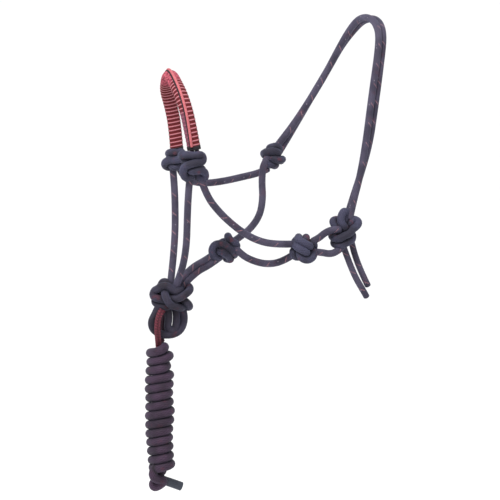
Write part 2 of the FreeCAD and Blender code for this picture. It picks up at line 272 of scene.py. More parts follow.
class Surface:
    """Gathers tubes into one mesh, with a UV map that runs once around and in metres along."""

    def __init__(self):
        self.points = []
        self.faces = []
        self.coordinates = []
        self.creases = []
        self.count = 0

    def tube(self, rings, along, closed_ends=True, pressed_by=None):
        """rings: an array of rings of points, each ring the same way round seen from the line's end."""
        ring_count, sides, _ = rings.shape
        self.points.append(rings.reshape(-1, 3))
        self.creases.append(crease_depth(rings, pressed_by).ravel())
        ring, side = np.meshgrid(np.arange(ring_count - 1), np.arange(sides), indexing="ij")
        after = (side + 1) % sides
        here = ring * sides
        above = (ring + 1) * sides
        quads = np.stack([here + side, here + after, above + after, above + side], -1)
        self.faces.append((quads.reshape(-1, 4) + self.count).tolist())
        around = np.stack([side, side + 1, side + 1, side], -1) / sides
        length = np.stack([along[ring], along[ring], along[ring + 1], along[ring + 1]], -1)
        self.coordinates.append(np.stack([around, length], -1).reshape(-1, 2))
        last = self.count + (ring_count - 1) * sides
        if closed_ends:
            for start, way, place in ((self.count, -1, along[0]), (last, 1, along[-1])):
                self.faces.append([[start + side for side in range(sides)][::way]])
                self.coordinates.append(np.full((sides, 2), (0.5, place)))
        self.count += ring_count * sides

    def mesh(self, name):
        mesh = bpy.data.meshes.new(name)
        faces = [face for part in self.faces for face in part]
        mesh.from_pydata(np.concatenate(self.points).tolist(), [], faces)
        layer = mesh.uv_layers.new(name="along")
        layer.data.foreach_set("uv", np.concatenate(self.coordinates).astype(np.float32).ravel())
        crease = mesh.attributes.new("crease", "FLOAT", "POINT")
        crease.data.foreach_set("value", np.concatenate(self.creases).astype(np.float32))
        mesh.shade_smooth()
        return mesh


def braid_height(around, along, strands, pitch):
    """Height, 0 to 1, of a braid's surface: strands of two hands that pass over and under each other."""
    right = strands * (around + along / pitch)
    left = strands * (around - along / pitch)
    over = (np.floor(right) + np.floor(left)) % 2
    right_crown = np.sin(np.pi * (right % 1))
    left_crown = np.sin(np.pi * (left % 1))
    ridge = np.where(over < 0.5, right_crown, left_crown)
    dip = np.where(over < 0.5, left_crown, right_crown)
    return ridge * (0.6 + 0.4 * dip)


class Braid:
    """How a rope is braided: its strands of each hand, the length of one turn, and how deep the relief is."""

    def __init__(self, diameter, strands, pitch, relief, sides):
        self.diameter = diameter
        self.strands = strands
        self.pitch = pitch
        self.relief = relief
        self.sides = sides


HALTER_BRAID = Braid(ROPE_FULL, 12, 32 * MM, 0.22 * MM, 44)
TAIL_BRAID = Braid(TAIL_ROPE, 12, 32 * MM, 0.22 * MM, 40)
KNOT_BRAID = Braid(KNOTTED_ROPE, 12, 32 * MM, 0.25 * MM, 44)
LEAD_BRAID = Braid(LEAD, 12, 50 * MM, 0.22 * MM, 38)
SLEEVED_BRAID = Braid(6.2 * MM, 8, 30 * MM, 0.25 * MM, 24)


def add_rope(surface, line, braid, rounding=0.3, neighbours=None):
    """A braided rope along a line, its ends rounded off as if sealed with a flame."""
    _, normals, binormals = frames_along(line)
    along = length_along(line)
    around = np.arange(braid.sides) / braid.sides
    height = braid_height(around[None, :], along[:, None], braid.strands, braid.pitch)
    radius = braid.diameter / 2 - braid.relief * (1 - height)
    edge = np.minimum(along, along[-1] - along) / (rounding * braid.diameter)
    radius *= np.sqrt(1 - (1 - np.clip(edge, 0.02, 1)) ** 2)[:, None] ** 0.6
    outward = directions_round(normals, binormals, 2 * np.pi * around)
    pressed_by = (braid.diameter / 2, neighbours) if neighbours else None
    surface.tube(line[:, None, :] + outward * radius[:, :, None], along, pressed_by=pressed_by)


def make_piece(name, surface, material, body, stands_for):
    piece = bpy.data.objects.new(name, surface.mesh(name))
    piece.data.materials.append(material)
    bpy.context.scene.collection.objects.link(piece)
    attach(piece, body)
    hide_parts(*stands_for)
    return piece


def make_rope(name, route, material, body, braid=HALTER_BRAID):
    """A rope piece named after the CAD node it stands for, and the points it follows."""
    line = spline_line(name, route, RING_SPACING)
    surface = Surface()
    add_rope(surface, line, braid)
    return make_piece(f"{name}_braid", surface, material, body, [name]), line


# ---------------------------------------------------------------- shader building


class Nodes:
    """Short ways to place and link shader nodes in a tree."""

    def __init__(self, tree):
        self.tree = tree

    def add(self, kind, **settings):
        node = self.tree.nodes.new(kind)
        for key, value in settings.items():
            setattr(node, key, value)
        return node

    def feed(self, socket, value):
        if isinstance(value, bpy.types.NodeSocket):
            self.tree.links.new(value, socket)
        else:
            socket.default_value = value

    def math(self, operation, *values, clamp=False):
        node = self.add("ShaderNodeMath", operation=operation, use_clamp=clamp)
        for socket, value in zip(node.inputs, values):
            self.feed(socket, value)
        return node.outputs[0]

    def mix(self, factor, first, second, blend="MIX"):
        node = self.add("ShaderNodeMix", data_type="RGBA", blend_type=blend)
        self.feed(node.inputs[0], factor)
        self.feed(node.inputs[6], first)
        self.feed(node.inputs[7], second)
        return node.outputs[2]

    def ramp(self, value, low, high):
        """0 below low, 1 above high, smooth between."""
        node = self.add("ShaderNodeMapRange", interpolation_type="SMOOTHSTEP")
        self.feed(node.inputs[0], value)
        node.inputs[1].default_value = low
        node.inputs[2].default_value = high
        return node.outputs[0]

    def noise(self, vector, scale, detail=2.0, roughness=0.5):
        node = self.add("ShaderNodeTexNoise")
        self.feed(node.inputs["Vector"], vector)
        node.inputs["Scale"].default_value = scale
        node.inputs["Detail"].default_value = detail
        node.inputs["Roughness"].default_value = roughness
        return node.outputs["Fac"]

    def parts(self, vector):
        node = self.add("ShaderNodeSeparateXYZ")
        self.feed(node.inputs[0], vector)
        return node.outputs[0], node.outputs[1], node.outputs[2]


def linear(red, green, blue):
    """A colour from its screen values, 0 to 255."""
    return (*((value / 255) ** 2.2 for value in (red, green, blue)), 1)


def new_group(name, inputs, outputs):
    tree = bpy.data.node_groups.new(name, "ShaderNodeTree")
    for socket_name, kind in inputs:
        tree.interface.new_socket(socket_name, in_out="INPUT", socket_type=f"NodeSocket{kind}")
    for socket_name, kind in outputs:
        tree.interface.new_socket(socket_name, in_out="OUTPUT", socket_type=f"NodeSocket{kind}")
    return tree, tree.nodes.new("NodeGroupInput").outputs, tree.nodes.new("NodeGroupOutput").inputs


TRACER_PITCH = 26 * MM  # length in which the tracer yarn winds once round
TRACER_SHOWN = 0.45  # share of its way that it lies on top
STITCH_SHARE = 0.01


def braid_group():
    """The braid's height, a mask for painted shade in the gaps between strands, a coloured tracer yarn, and
    single pale stitches.
    """
    tree, given, made = new_group(
        "braid",
        [("Coordinates", "Vector"), ("Strands", "Float"), ("Turns per metre", "Float")],
        [("Height", "Float"), ("Gap shade", "Float"), ("Tracer", "Float"), ("Stitch", "Float")],
    )
    nodes = Nodes(tree)
    around, along, _ = nodes.parts(given["Coordinates"])
    turned = nodes.math("MULTIPLY", along, given["Turns per metre"])
    hands = []
    for operation in ("ADD", "SUBTRACT"):
        place = nodes.math("MULTIPLY", nodes.math(operation, around, turned), given["Strands"])
        index = nodes.math("FLOOR", place)
        share = nodes.math("FRACT", place)
        crown = nodes.math("SINE", nodes.math("MULTIPLY", share, math.pi))
        hands.append((index, crown))
    (right_index, right_crown), (left_index, left_crown) = hands
    left_over = nodes.math("FLOORED_MODULO", nodes.math("ADD", right_index, left_index), 2.0)
    right_over = nodes.math("SUBTRACT", 1.0, left_over)

    def choose(over_right, over_left):
        first = nodes.math("MULTIPLY", over_right, right_over)
        return nodes.math("MULTIPLY_ADD", over_left, left_over, first)

    ridge = choose(right_crown, left_crown)
    dip = choose(left_crown, right_crown)
    height = nodes.math("MULTIPLY", ridge, nodes.math("MULTIPLY_ADD", dip, 0.4, 0.6))
    nodes.feed(made["Height"], height)
    # The gaps between strands are masked here, to be darkened as painted shade.
    nodes.feed(made["Gap shade"], nodes.math("SUBTRACT", 1.0, nodes.ramp(height, 0.1, 0.6)))
    # The tracer winds round, and dives under twice in each turn.
    winding = nodes.math("FRACT", nodes.math("MULTIPLY_ADD", along, 1 / TRACER_PITCH, around))
    off_middle = nodes.math("ABSOLUTE", nodes.math("SUBTRACT", winding, 0.5))
    line = nodes.math("SUBTRACT", 1.0, nodes.ramp(off_middle, 0.012, 0.03))
    shown = nodes.math("LESS_THAN", nodes.math("FRACT", nodes.math("MULTIPLY", around, 2.0)), TRACER_SHOWN)
    nodes.feed(made["Tracer"], nodes.math("MULTIPLY", line, shown))
    cell = nodes.add("ShaderNodeCombineXYZ")
    nodes.feed(cell.inputs[0], right_index)
    nodes.feed(cell.inputs[1], left_index)
    chance = nodes.add("ShaderNodeTexWhiteNoise", noise_dimensions="2D")
    nodes.feed(chance.inputs["Vector"], cell.outputs[0])
    picked = nodes.math("GREATER_THAN", chance.outputs["Value"], 1 - STITCH_SHARE)
    nodes.feed(made["Stitch"], nodes.math("MULTIPLY", picked, nodes.ramp(height, 0.45, 0.75)))
    return tree


def cloth_group():
    """Uneven dye, fine fibres and loose fuzz, for every woven or braided finish."""
    tree, given, made = new_group(
        "cloth",
        [("Coordinates", "Vector")],
        [("Cloud", "Float"), ("Patch", "Float"), ("Fibre", "Float")],
    )
    nodes = Nodes(tree)
    nodes.feed(made["Cloud"], nodes.noise(given["Coordinates"], 45, detail=3))
    patches = nodes.noise(given["Coordinates"], 85, detail=2, roughness=0.6)
    nodes.feed(made["Patch"], nodes.ramp(patches, 0.58, 0.72))
    nodes.feed(made["Fibre"], nodes.noise(given["Coordinates"], 1900, detail=2, roughness=0.7))
    return tree


BRAID_GROUP = braid_group()
CLOTH_GROUP = cloth_group()


def start_material(name, roughness, sheen, sheen_tint):
    material = bpy.data.materials.new(name)
    material.use_nodes = True
    nodes = Nodes(material.node_tree)
    shader = material.node_tree.nodes["Principled BSDF"]
    shader.inputs["Sheen Weight"].default_value = sheen
    shader.inputs["Sheen Roughness"].default_value = 0.5
    shader.inputs["Sheen Tint"].default_value = sheen_tint
    shader.inputs["Specular IOR Level"].default_value = 0.3
    shader.inputs["Roughness"].default_value = roughness
    return material, nodes, shader


def use_group(nodes, tree, **values):
    node = nodes.add("ShaderNodeGroup", node_tree=tree)
    for key, value in values.items():
        nodes.feed(node.inputs[key.replace("_", " ")], value)
    return node.outputs


def use_braid(nodes, coordinates, braid):
    return use_group(
        nodes,
        BRAID_GROUP,
        Coordinates=coordinates,
        Strands=float(braid.strands),
        Turns_per_metre=1 / braid.pitch,
    )


def bump(nodes, shader, height, distance, strength):
    node = nodes.add("ShaderNodeBump")
    node.inputs["Distance"].default_value = distance
    node.inputs["Strength"].default_value = strength
    nodes.feed(node.inputs["Height"], height)
    nodes.feed(shader.inputs["Normal"], node.outputs[0])


def rope_material(name, braid, colours, tracers, patch_strength, sheen=0.22, end_colour=None):
    """colours: base, its darker cloud, painted shade for the gaps and creases, and stray patches. tracers:
    the two coloured yarns.
    """
    base, cloud_colour, painted_shade_colour, patch_colour = colours
    material, nodes, shader = start_material(name, 0.72, sheen, linear(140, 148, 185))
    coordinates = nodes.add("ShaderNodeUVMap", uv_map="along").outputs[0]
    place = nodes.add("ShaderNodeTexCoord").outputs["Object"]
    woven = use_braid(nodes, coordinates, braid)
    cloth = use_group(nodes, CLOTH_GROUP, Coordinates=place)
    colour = nodes.mix(nodes.ramp(cloth["Cloud"], 0.35, 0.65), base, cloud_colour)
    colour = nodes.mix(nodes.math("MULTIPLY", cloth["Patch"], patch_strength), colour, patch_colour)
    if tracers:
        colour = nodes.mix(nodes.math("MULTIPLY", woven["Tracer"], 0.5), colour, tracers[0])
        colour = nodes.mix(woven["Stitch"], colour, tracers[1])
    # Painted shade: the gaps between the braid's strands are darkened.
    colour = nodes.mix(nodes.math("MULTIPLY", woven["Gap shade"], 0.75), colour, painted_shade_colour)
    # Painted shade: where a rope presses on a neighbour, its sides are darkened along the crease.
    crease = nodes.add("ShaderNodeAttribute", attribute_name="crease").outputs["Fac"]
    colour = nodes.mix(nodes.math("MULTIPLY", crease, 0.88), colour, painted_shade_colour)
    if end_colour:
        x, _, z = nodes.parts(place)
        past_hank = nodes.math("MULTIPLY", nodes.ramp(x, -0.2835, -0.277), nodes.math("LESS_THAN", z, -0.594))
        colour = nodes.mix(past_hank, colour, end_colour)
    speckle = nodes.math("MULTIPLY_ADD", cloth["Fibre"], 0.7, 0.65)
    colour = nodes.mix(1.0, colour, speckle, blend="MULTIPLY")
    nodes.feed(shader.inputs["Base Color"], colour)
    nodes.feed(shader.inputs["Roughness"], nodes.math("MULTIPLY_ADD", cloth["Fibre"], 0.25, 0.62))
    height = nodes.math("MULTIPLY_ADD", cloth["Fibre"], 0.25, woven["Height"])
    bump(nodes, shader, height, 0.35 * MM, 0.7)
    return material


HALTER_ROPE = rope_material(
    "halter_rope",
    HALTER_BRAID,
    (linear(65, 60, 77), linear(48, 44, 59), linear(13, 10, 17), linear(84, 44, 56)),
    (linear(172, 120, 126), linear(112, 104, 116)),
    0.3,
)
# The halter rope painted darker, as shade for the packed knots, with stronger stray reddish patches.
KNOT_ROPE = rope_material(
    "knotted_halter_rope",
    KNOT_BRAID,
    (linear(54, 53, 73), linear(35, 32, 46), linear(8, 5, 10), linear(96, 42, 52)),
    (),
    0.45,
)
# Darker still, as painted shade for the dense fiador knot and the lead loop's strands, with more reddish
# patches.
CHIN_KNOT_ROPE = rope_material(
    "chin_knot_rope",
    KNOT_BRAID,
    (linear(46, 42, 58), linear(29, 23, 35), linear(7, 3, 8), linear(76, 28, 42)),
    (),
    0.55,
)
LEAD_ROPE = rope_material(
    "lead_rope",
    LEAD_BRAID,
    (linear(57, 39, 59), linear(40, 26, 42), linear(9, 3, 8), linear(72, 30, 44)),
    (),
    0.45,
    sheen=0.1,
    end_colour=linear(50, 54, 62),
)

# ---------------------------------------------------------------- single ropes and pairs

BODIES = {
    "crown_tail_near": "tail_near",
    "crown_tail_far": "tail_far",
    "loop_strand_outer": "lead_loop",
    "loop_strand_inner": "lead_loop",
}
FINISHES = {
    "crown_tail_near": (HALTER_ROPE, TAIL_BRAID),
    "crown_tail_far": (HALTER_ROPE, TAIL_BRAID),
    "loop_strand_outer": (CHIN_KNOT_ROPE, KNOT_BRAID),
    "loop_strand_inner": (CHIN_KNOT_ROPE, KNOT_BRAID),
}
# Lengths from knot to knot, with the little that goes into each knot, measured on the routes above.
LENGTHS = {
    "chin_rope_far": 0.167,
    "chin_rope_near": 0.167,
    "cheek_rope_far": 0.147,
    "cheek_rope_near": 0.164,
    "throat_rope_far": 0.157,
    "throat_rope_near": 0.1,
    "crown_tail_near": 0.076,
    "crown_tail_far": 0.07,
    "loop_strand_outer": 0.118,
    "loop_strand_inner": 0.08,
}
for rope_name, rope_route in ROUTES.items():
    rope_body = BODIES.get(rope_name, "headstall")
    rope_finish, rope_braid = FINISHES.get(rope_name, (HALTER_ROPE, HALTER_BRAID))
    rope_piece, rope_line = make_rope(
        rope_name, rope_route, rope_finish, rope_body, rope_braid
    )
    if rope_name not in LENGTHS:
        continue  # the tie loop's two short sides are under six diameters long

for pair_names, pair_route, pair_middle, pair_body, pair_length in (
    (("crown_strand_front", "crown_strand_rear"), CROWN_ROUTE, HEAD_MIDDLE, "crown", 0.54),
    (("jaw_strand_upper", "jaw_strand_lower"), JAW_ROUTE, SIDE_VIEW, "headstall", 0.076),
):
    for rope_name, rope_route in zip(pair_names, side_by_side(pair_route, PAIR_SPACING, pair_middle)):
        rope_piece, rope_line = make_rope(rope_name, rope_route, HALTER_ROPE, pair_body)

# ---------------------------------------------------------------- knots

KNOT_TURN = VIEW_AZIMUTH  # the knots' own axes are turned this far about the vertical
STRAND_STEP = 1.4 * MM  # between the points that settle
SETTLE_ROUNDS = 90
CLOSEST = 0.92 * KNOTTED_ROPE  # how close two strands' middles may come: pressed rope flattens a little
KNOT_BODY = "headstall"

# Each knot: its centre, a size factor, and the stretches of rope that show on it, as points given in
# millimetres about that centre: to the rear, away to the far side, and up, in the knot's own turned axes.
# A stretch's two ends dive into the knot's middle and aren't joined there: no knot is tied right through.
KNOTS = {
    "fiador_knot": (
        (-0.274, 0, -0.352),
        0.98,
        [
            [(18, 0, -2), (12, -6, 0), (6, -10, 2), (-3, -12, 7), (-13, -11, 8), (-21, -7, 3), (-24, -1, -3),
             (-20, -6, -9), (-12, -8, -10), (-4, -5, -10), (5, -8, -9), (15, -12, -5), (23, -11, 0),
             (28, -4, 4),
             (25, 5, 9), (18, 12, 7)],
            [(-10, -2, 2), (-6, -13, -3), (-3, -15, -9), (3, -14, -15), (10, -12, -19), (16, -7, -20),
             (19, 2, -16)],
            [(-18, 6, -5), (-22, -2, -9), (-16, -8, -13), (-6, -7, -16), (3, -3, -18)],
            [(12, 0, -9), (18, -7, -12), (24, -8, -16), (27, -2, -20), (22, 6, -21), (15, 10, -18)],
            [(1, 8, 6), (-2, 8, 11), (-7, 7, 15), (-11, 10, 14), (-12, 14, 8), (-15, 14, 0), (-19, 8, -5)],
            [(22, 8, -5), (15, 15, 0), (5, 18, 3), (-5, 18, 0), (-14, 15, -5)],
            [(18, 8, -14), (8, 16, -9), (-2, 18, -8), (-11, 14, -11), (-17, 6, -9)],
        ],
    ),
    "nose_knot_far": (
        (-0.2545, 0.055, -0.182),
        0.94,
        [
            [(16, 0, 5), (12, -7, 7), (5, -10, 10), (-2, -9, 11), (-6, -2, 10), (-5, 6, 7), (1, 12, 4),
             (9, 12, 4)],
            [(18, -4, 4), (13, -10, 3), (7, -12, 1), (2, -11, 0), (-2, -6, -1), (-4, 0, -4), (-4, 5, -8),
             (-1, 10, -9), (6, 12, -7)],
            [(13, -2, -4), (9, -7, -7), (4, -8, -10), (0, -4, -9), (-3, 2, -6), (-1, 8, -2), (4, 13, -2),
             (10, 12, 0)],
        ],
    ),
    "nose_knot_near": (
        (-0.256, -0.06, -0.182),
        1.0,
        [
            [(-22, 6, 14), (-19, -2, 16), (-11, -8, 16), (-2, -11, 15), (7, -9, 15), (11, -3, 12), (9, -7, 8),
             (0, -13, 6), (-8, -14, 4), (-14, -12, 1), (-17, -9, -5), (-14, -6, -12), (-10, -2, -18)],
            [(-11, 2, -6), (-8, -5, -8), (-3, -10, -5), (5, -11, -3), (11, -6, -5), (12, -1, -9), (9, 0, -13),
             (3, -2, -14), (0, -2, -18)],
            [(9, 2, 12), (5, 8, 15), (-4, 13, 14), (-11, 14, 9), (-15, 12, 3), (-13, 8, -4)],
            [(11, 2, -6), (6, 10, -3), (-2, 14, -1), (-10, 14, -3), (-14, 9, -8), (-11, 3, -13)],
        ],
    ),
    "throat_knot": (
        (-0.2007, -0.002, -0.296),
        0.84,
        [
            [(-5, 4, -16), (-10, -4, -11), (-13, -6, -5), (-13, -6, 1), (-10, -8, 6), (-4, -11, 8),
             (2, -13, 6),
             (7, -13, 2), (13, -9, -2), (15, 0, -6), (12, 8, -10), (5, 13, -11)],
            [(-14, 8, -10), (-13, -2, -6), (-9, -10, -4), (-3, -14, -3), (3, -15, -5), (9, -11, -8),
             (12, -4, -10),
             (10, 0, -14), (7, 4, -15), (3, 10, -12)],
            [(11, 6, 1), (9, 8, 9), (5, 6, 15), (5, 0, 18), (9, -7, 15), (12, -10, 9), (17, -7, 4),
             (23, -2, -2)],
            [(-10, 8, -3), (-8, 14, 3), (-2, 17, 6), (4, 17, 4), (9, 13, 0), (13, 7, -4)],
            [(-8, 8, -9), (-3, 15, -5), (2, 17, -3), (8, 14, -5)],
        ],
    ),
    "cheek_knot_far": (
        (-0.109, 0.075, -0.181),
        0.9,
        [
            [(9, 2, 8), (8, -6, 4), (3, -10, 8), (-2, -9, 11), (-6, -4, 11), (-6, 4, 7), (-2, 10, 3),
             (4, 12, 3)],
            [(9, -2, 3), (5, -9, 2), (-1, -12, 3), (-8, -10, 4), (-13, -5, 3), (-14, 0, 0), (-11, 6, -2),
             (-5, 11, -2), (2, 12, -1)],
            [(-9, -4, -2), (-4, -9, -2), (1, -12, 0), (7, -11, 0), (11, -7, -1), (13, -2, -5), (10, 2, -8),
             (4, 8, -6), (-3, 12, -4)],
            [(-13, -4, -8), (-9, -9, -5), (-4, -12, -7), (1, -11, -10), (5, -6, -13), (3, 0, -16),
             (-1, 6, -14),
             (-6, 11, -9)],
        ],
    ),
    "cheek_knot_near": (
        (-0.115, -0.075, -0.288),
        0.84,
        [
            [(-15, 0, 5), (-10, -8, 1), (-5, -13, 0), (0, -14, -4), (6, -12, -10), (7, -3, -16), (2, 8, -16),
             (-3, 13, -10), (-7, 14, -1), (-7, 10, 7), (-8, 0, 12), (-6, -9, 6), (-2, -14, 1),
             (4, -14, -1), (10, -8, -3)],
            [(-12, 6, -10), (-13, -2, -3), (-10, -9, -9), (-4, -8, -14), (-3, 0, -17), (-1, 9, -10),
             (3, 13, 0),
             (6, 9, 7), (6, 0, 11), (5, -9, 5), (2, -12, -1)],
            [(14, 4, -4), (15, -3, -10), (10, -8, -14), (2, -12, -12), (-5, -11, -9), (-10, -8, -3)],
            [(-3, 14, -3), (4, 14, -6), (11, 9, -4), (14, 3, 1), (11, -2, 5)],
        ],
    ),
    "tie_knot": (
        (-0.0585, -0.069, -0.271),
        0.91,
        [
            [(9, 6, 21), (5, 0, 26), (-1, -6, 26), (-4, -9, 21), (-4, -10, 15), (-1, -10, 9), (4, -8, 3),
             (8, -3, -2)],
            [(-6, 4, 19), (-10, -1, 17), (-11, -6, 11), (-9, -9, 6), (-4, -9, 1), (1, -5, -3), (6, 2, -6)],
            [(13, 6, 21), (16, 0, 15), (16, -7, 7), (10, -12, 0), (3, -14, -5), (-5, -14, -9),
             (-12, -11, -11),
             (-16, -5, -8), (-17, 3, -6), (-8, 10, -2), (2, 13, 4), (11, 12, 12), (13, 7, 20)],
            [(16, 0, -3), (14, -6, -9), (8, -10, -15), (0, -12, -19), (-9, -9, -20), (-15, -2, -17),
             (-12, 6, -13),
             (-2, 11, -9), (8, 11, -5), (15, 6, -2)],
            [(4, 10, 24), (8, 13, 15), (3, 15, 6), (-5, 14, 10), (-7, 9, 18)],
        ],
    ),
}


def settle(strands):
    """Pushes crossing strands apart until they lie on each other, keeping each smooth and near its place."""
    owner = np.concatenate([np.full(len(strand), number) for number, strand in enumerate(strands)])
    counts = [np.arange(len(strand)) for strand in strands]
    order = np.concatenate(counts)
    to_end = np.concatenate([np.minimum(count, count[::-1]) for count in counts])
    firmness = np.clip(to_end * STRAND_STEP / ROPE, 0, 1)  # the ends dive into the knot and may cross there
    neighbours = (owner[:, None] == owner[None, :]) & (
        np.abs(order[:, None] - order[None, :]) * STRAND_STEP < 1.5 * ROPE
    )
    pair_firmness = firmness[:, None] * firmness[None, :] * ~neighbours
    inner = to_end > 0
    rest = np.concatenate(strands)
    points = rest.copy()
    for _ in range(SETTLE_ROUNDS):
        apart = points[:, None, :] - points[None, :, :]
        distance = np.linalg.norm(apart, axis=2) + 1e-9
        overlap = np.clip(CLOSEST - distance, 0, None) * pair_firmness
        push = (apart / distance[:, :, None] * overlap[:, :, None]).sum(axis=1)
        touching = np.maximum((overlap > 0).sum(axis=1), 1)
        points += 0.9 * push / np.sqrt(touching)[:, None]
        middle = (np.roll(points, 1, axis=0) + np.roll(points, -1, axis=0)) / 2
        points[inner] += 0.35 * (middle - points)[inner]
        points += 0.03 * (rest - points)
    return np.split(points, np.cumsum([len(strand) for strand in strands])[:-1])


def dive(point):
    """Where a strand's end goes out of sight: towards the knot's middle."""
    return tuple(0.35 * value for value in point)


def make_knot(name, centre, size, strands, material):
    turn = Matrix.Rotation(KNOT_TURN, 3, "Z")
    lines = []
    for strand in strands:
        local = [dive(strand[0]), *strand, dive(strand[-1])]
        placed = [Vector(centre) + turn @ (Vector(point) * size * MM) for point in local]
        lines.append(spline_line(name, placed, STRAND_STEP))
    lines = settle(lines)
    surface = Surface()
    for number, line in enumerate(lines):
        others = np.concatenate(lines[:number] + lines[number + 1 :])
        smooth = even_line(line, RING_SPACING)
        add_rope(surface, smooth, KNOT_BRAID, neighbours=lambda _, others=others: others)
    for height in (-0.5, 0.5):  # two turns in the middle, so that no light shows through
        circle = [
            Vector(centre) + Vector((math.cos(angle), math.sin(angle), height)) * 0.6 * ROPE
            for angle in np.linspace(0, 2 * math.pi, 9)
        ]
        add_rope(surface, spline_line(name, circle, RING_SPACING), KNOT_BRAID)
    make_piece(f"{name}_strands", surface, material, KNOT_BODY, [name])


for knot_name, (knot_centre, knot_size, knot_strands) in KNOTS.items():
    knot_material = CHIN_KNOT_ROPE if knot_name == "fiador_knot" else KNOT_ROPE
    make_knot(knot_name, knot_centre, knot_size, knot_strands, knot_material)

# ---------------------------------------------------------------- lead rope

HANK_X = -0.2892  # the hank's middle line
TURN_POINTS = 12
TURN_DEPTH = 18.5 * MM  # half of a turn's centreline from front to back
CORNER_GAIN = 1.035  # control points stand out by this share, because the spline passes inside them
FRONT_FALL = 3.2 * MM  # half of the drop from right to left across the front of a turn
TOP_FALL = 4 * MM  # the same on the first two turns, which slant more
FRONT_RISE = 1.8 * MM  # how far the middle of a turn's front stands over its two ends
# Each turn: height, outer width and sideways shift of its front, in millimetres.
TURNS = [
    (-427.2, 28.5, -2.6), (-439, 35, 0.9), (-451.6, 32.5, -1.5), (-463.8, 38, 0.1), (-475.6, 37.6, -0.3),
    (-487.2, 36, -0.3), (-499.3, 37, 0), (-511.2, 39, 0.5), (-523.2, 37.8, 0.3), (-535, 36, -0.3),
    (-546.4, 34.5, 0.1), (-558, 34, 0.9), (-570.2, 33.5, 1.7), (-581.8, 34, 3.2),
]
LEAD_START = [
    (-0.289, -0.002, -0.428), (-0.289, -0.006, -0.445), (-0.289, -0.0065, -0.49), (-0.289, -0.0065, -0.535),
    (-0.289, -0.0065, -0.573), (-0.3015, -0.0075, -0.589), (-0.298, -0.0075, -0.598), (-0.285, -0.006, -0.6),
    (-0.2865, -0.003, -0.605), (-0.296, 0.001, -0.611), (-0.2975, 0.005, -0.606), (-0.2895, 0.0085, -0.6),
    (-0.2845, 0.0085, -0.589), (-0.288, 0.0065, -0.57), (-0.289, 0.0065, -0.535), (-0.289, 0.0065, -0.49),
    (-0.289, 0.0065, -0.455), (-0.286, 0.008, -0.433),
]
LEAD_END = [
    (-0.281, 0.009, -0.589), (-0.289, 0.003, -0.592), (-0.288, 0, -0.6), (-0.276, 0, -0.604),
    (-0.2585, 0, -0.611),
]


def lead_turns():
    """The points of the wound turns, from the top down, each turn right, front, left, back."""
    points = []
    for number, (height, width, shift) in enumerate(TURNS):
        following = TURNS[min(number + 1, len(TURNS) - 1)][0]
        half = (width * MM - LEAD) / 2 * CORNER_GAIN
        fall = TOP_FALL if number < 2 else FRONT_FALL
        for step in range(TURN_POINTS):
            angle = 2 * math.pi * step / TURN_POINTS
            x = HANK_X + shift * MM + half * math.cos(angle)
            y = -TURN_DEPTH * CORNER_GAIN * math.sin(angle)
            if angle <= math.pi:
                z = height * MM + fall * math.cos(angle) + FRONT_RISE * math.sin(angle)
            else:
                share = (angle - math.pi) / math.pi
                z = (height + (following - height) * share) * MM - fall * math.cos(math.pi * share)
            points.append((x, y, z))
    return points[: -TURN_POINTS // 4]


LEAD_RING_SPACING = 1.05 * MM
lead_line = spline_line("lead", [*LEAD_START, *lead_turns(), *LEAD_END], LEAD_RING_SPACING)
lead_surface = Surface()
# Rings this far apart along the lead may press on each other.
FREE_REACH = round(2.6 * LEAD / LEAD_RING_SPACING)


def lead_neighbours(number):
    return np.concatenate([lead_line[: max(number - FREE_REACH, 0)], lead_line[number + FREE_REACH :]])


add_rope(lead_surface, lead_line, LEAD_BRAID, rounding=0.08, neighbours=lead_neighbours)
lead_piece = make_piece(
    "lead_rope_hank", lead_surface, LEAD_ROPE, "lead", ["lead_hank", "lead_bight", "lead_tail"]
)

# ---------------------------------------------------------------- plaited eye

PLAIT_STRAND = Braid(3.7 * MM, 5, 12 * MM, 0.15 * MM, 16)
PLAIT_PITCH = 10 * MM  # length in which a strand crosses over and back
PLAIT_REACH = 2.4 * MM  # how far a strand swings to each side
HOLLOW_SHADE_PITCH = 3.6 * MM  # between the hollows where the strands cross, which are painted dark as shade


